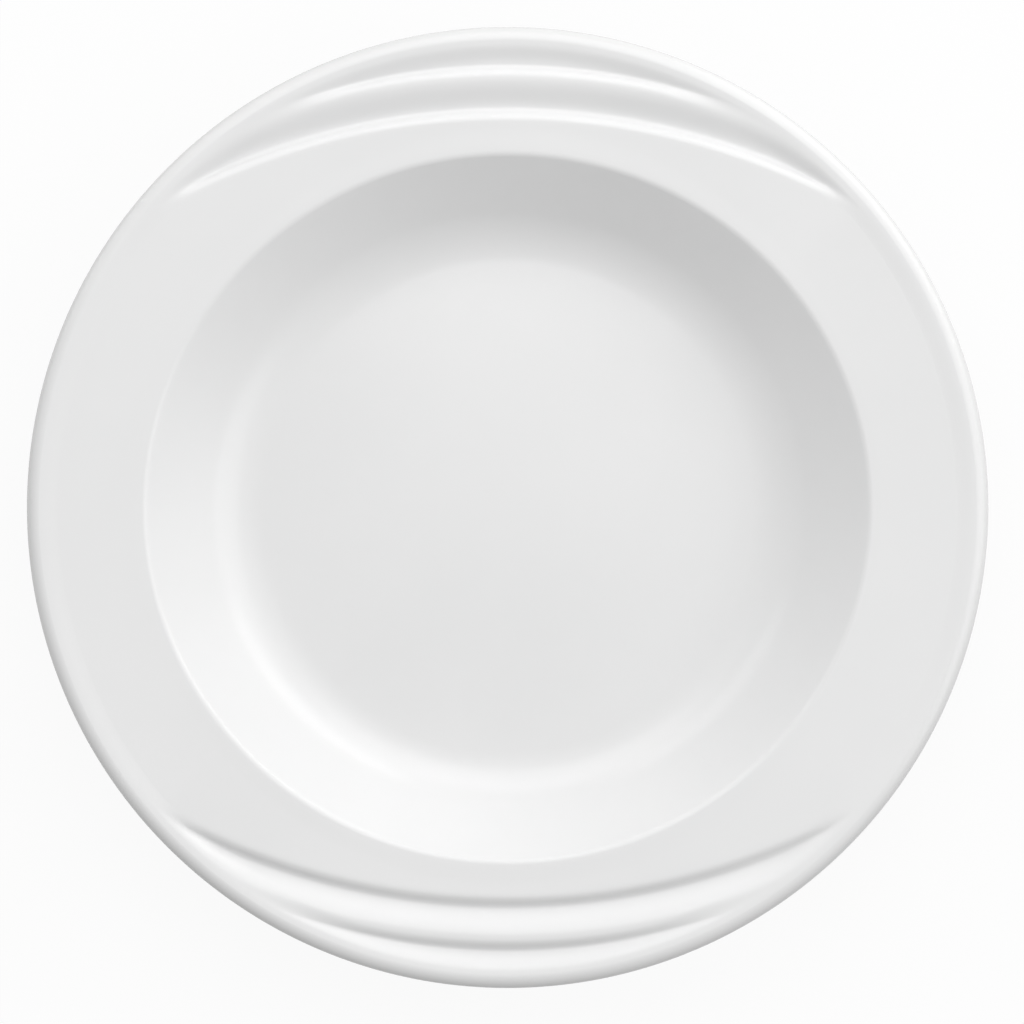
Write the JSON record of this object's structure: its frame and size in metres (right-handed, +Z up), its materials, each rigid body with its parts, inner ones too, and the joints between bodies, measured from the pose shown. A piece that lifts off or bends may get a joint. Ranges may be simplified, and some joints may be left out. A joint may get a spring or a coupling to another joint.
{
  "type": "deep plate",
  "caption": "Round white porcelain plate for serving food, with a deep well, a wide rim with curved terraces pressed into opposite sides, a rounded lip and a foot ring.",
  "frame": {"origin": "on the table, under the centre of the plate", "axes": "+Z up, +Y towards one of the two terraced sides of the rim, +X towards a plain side"},
  "size_m": [0.23, 0.23, 0.0315],
  "materials": {
    "glazed_porcelain": "white porcelain under a clear gloss glaze"
  },
  "bodies": {
    "root": {"plate": "glazed_porcelain"}
  },
  "joints": []
}
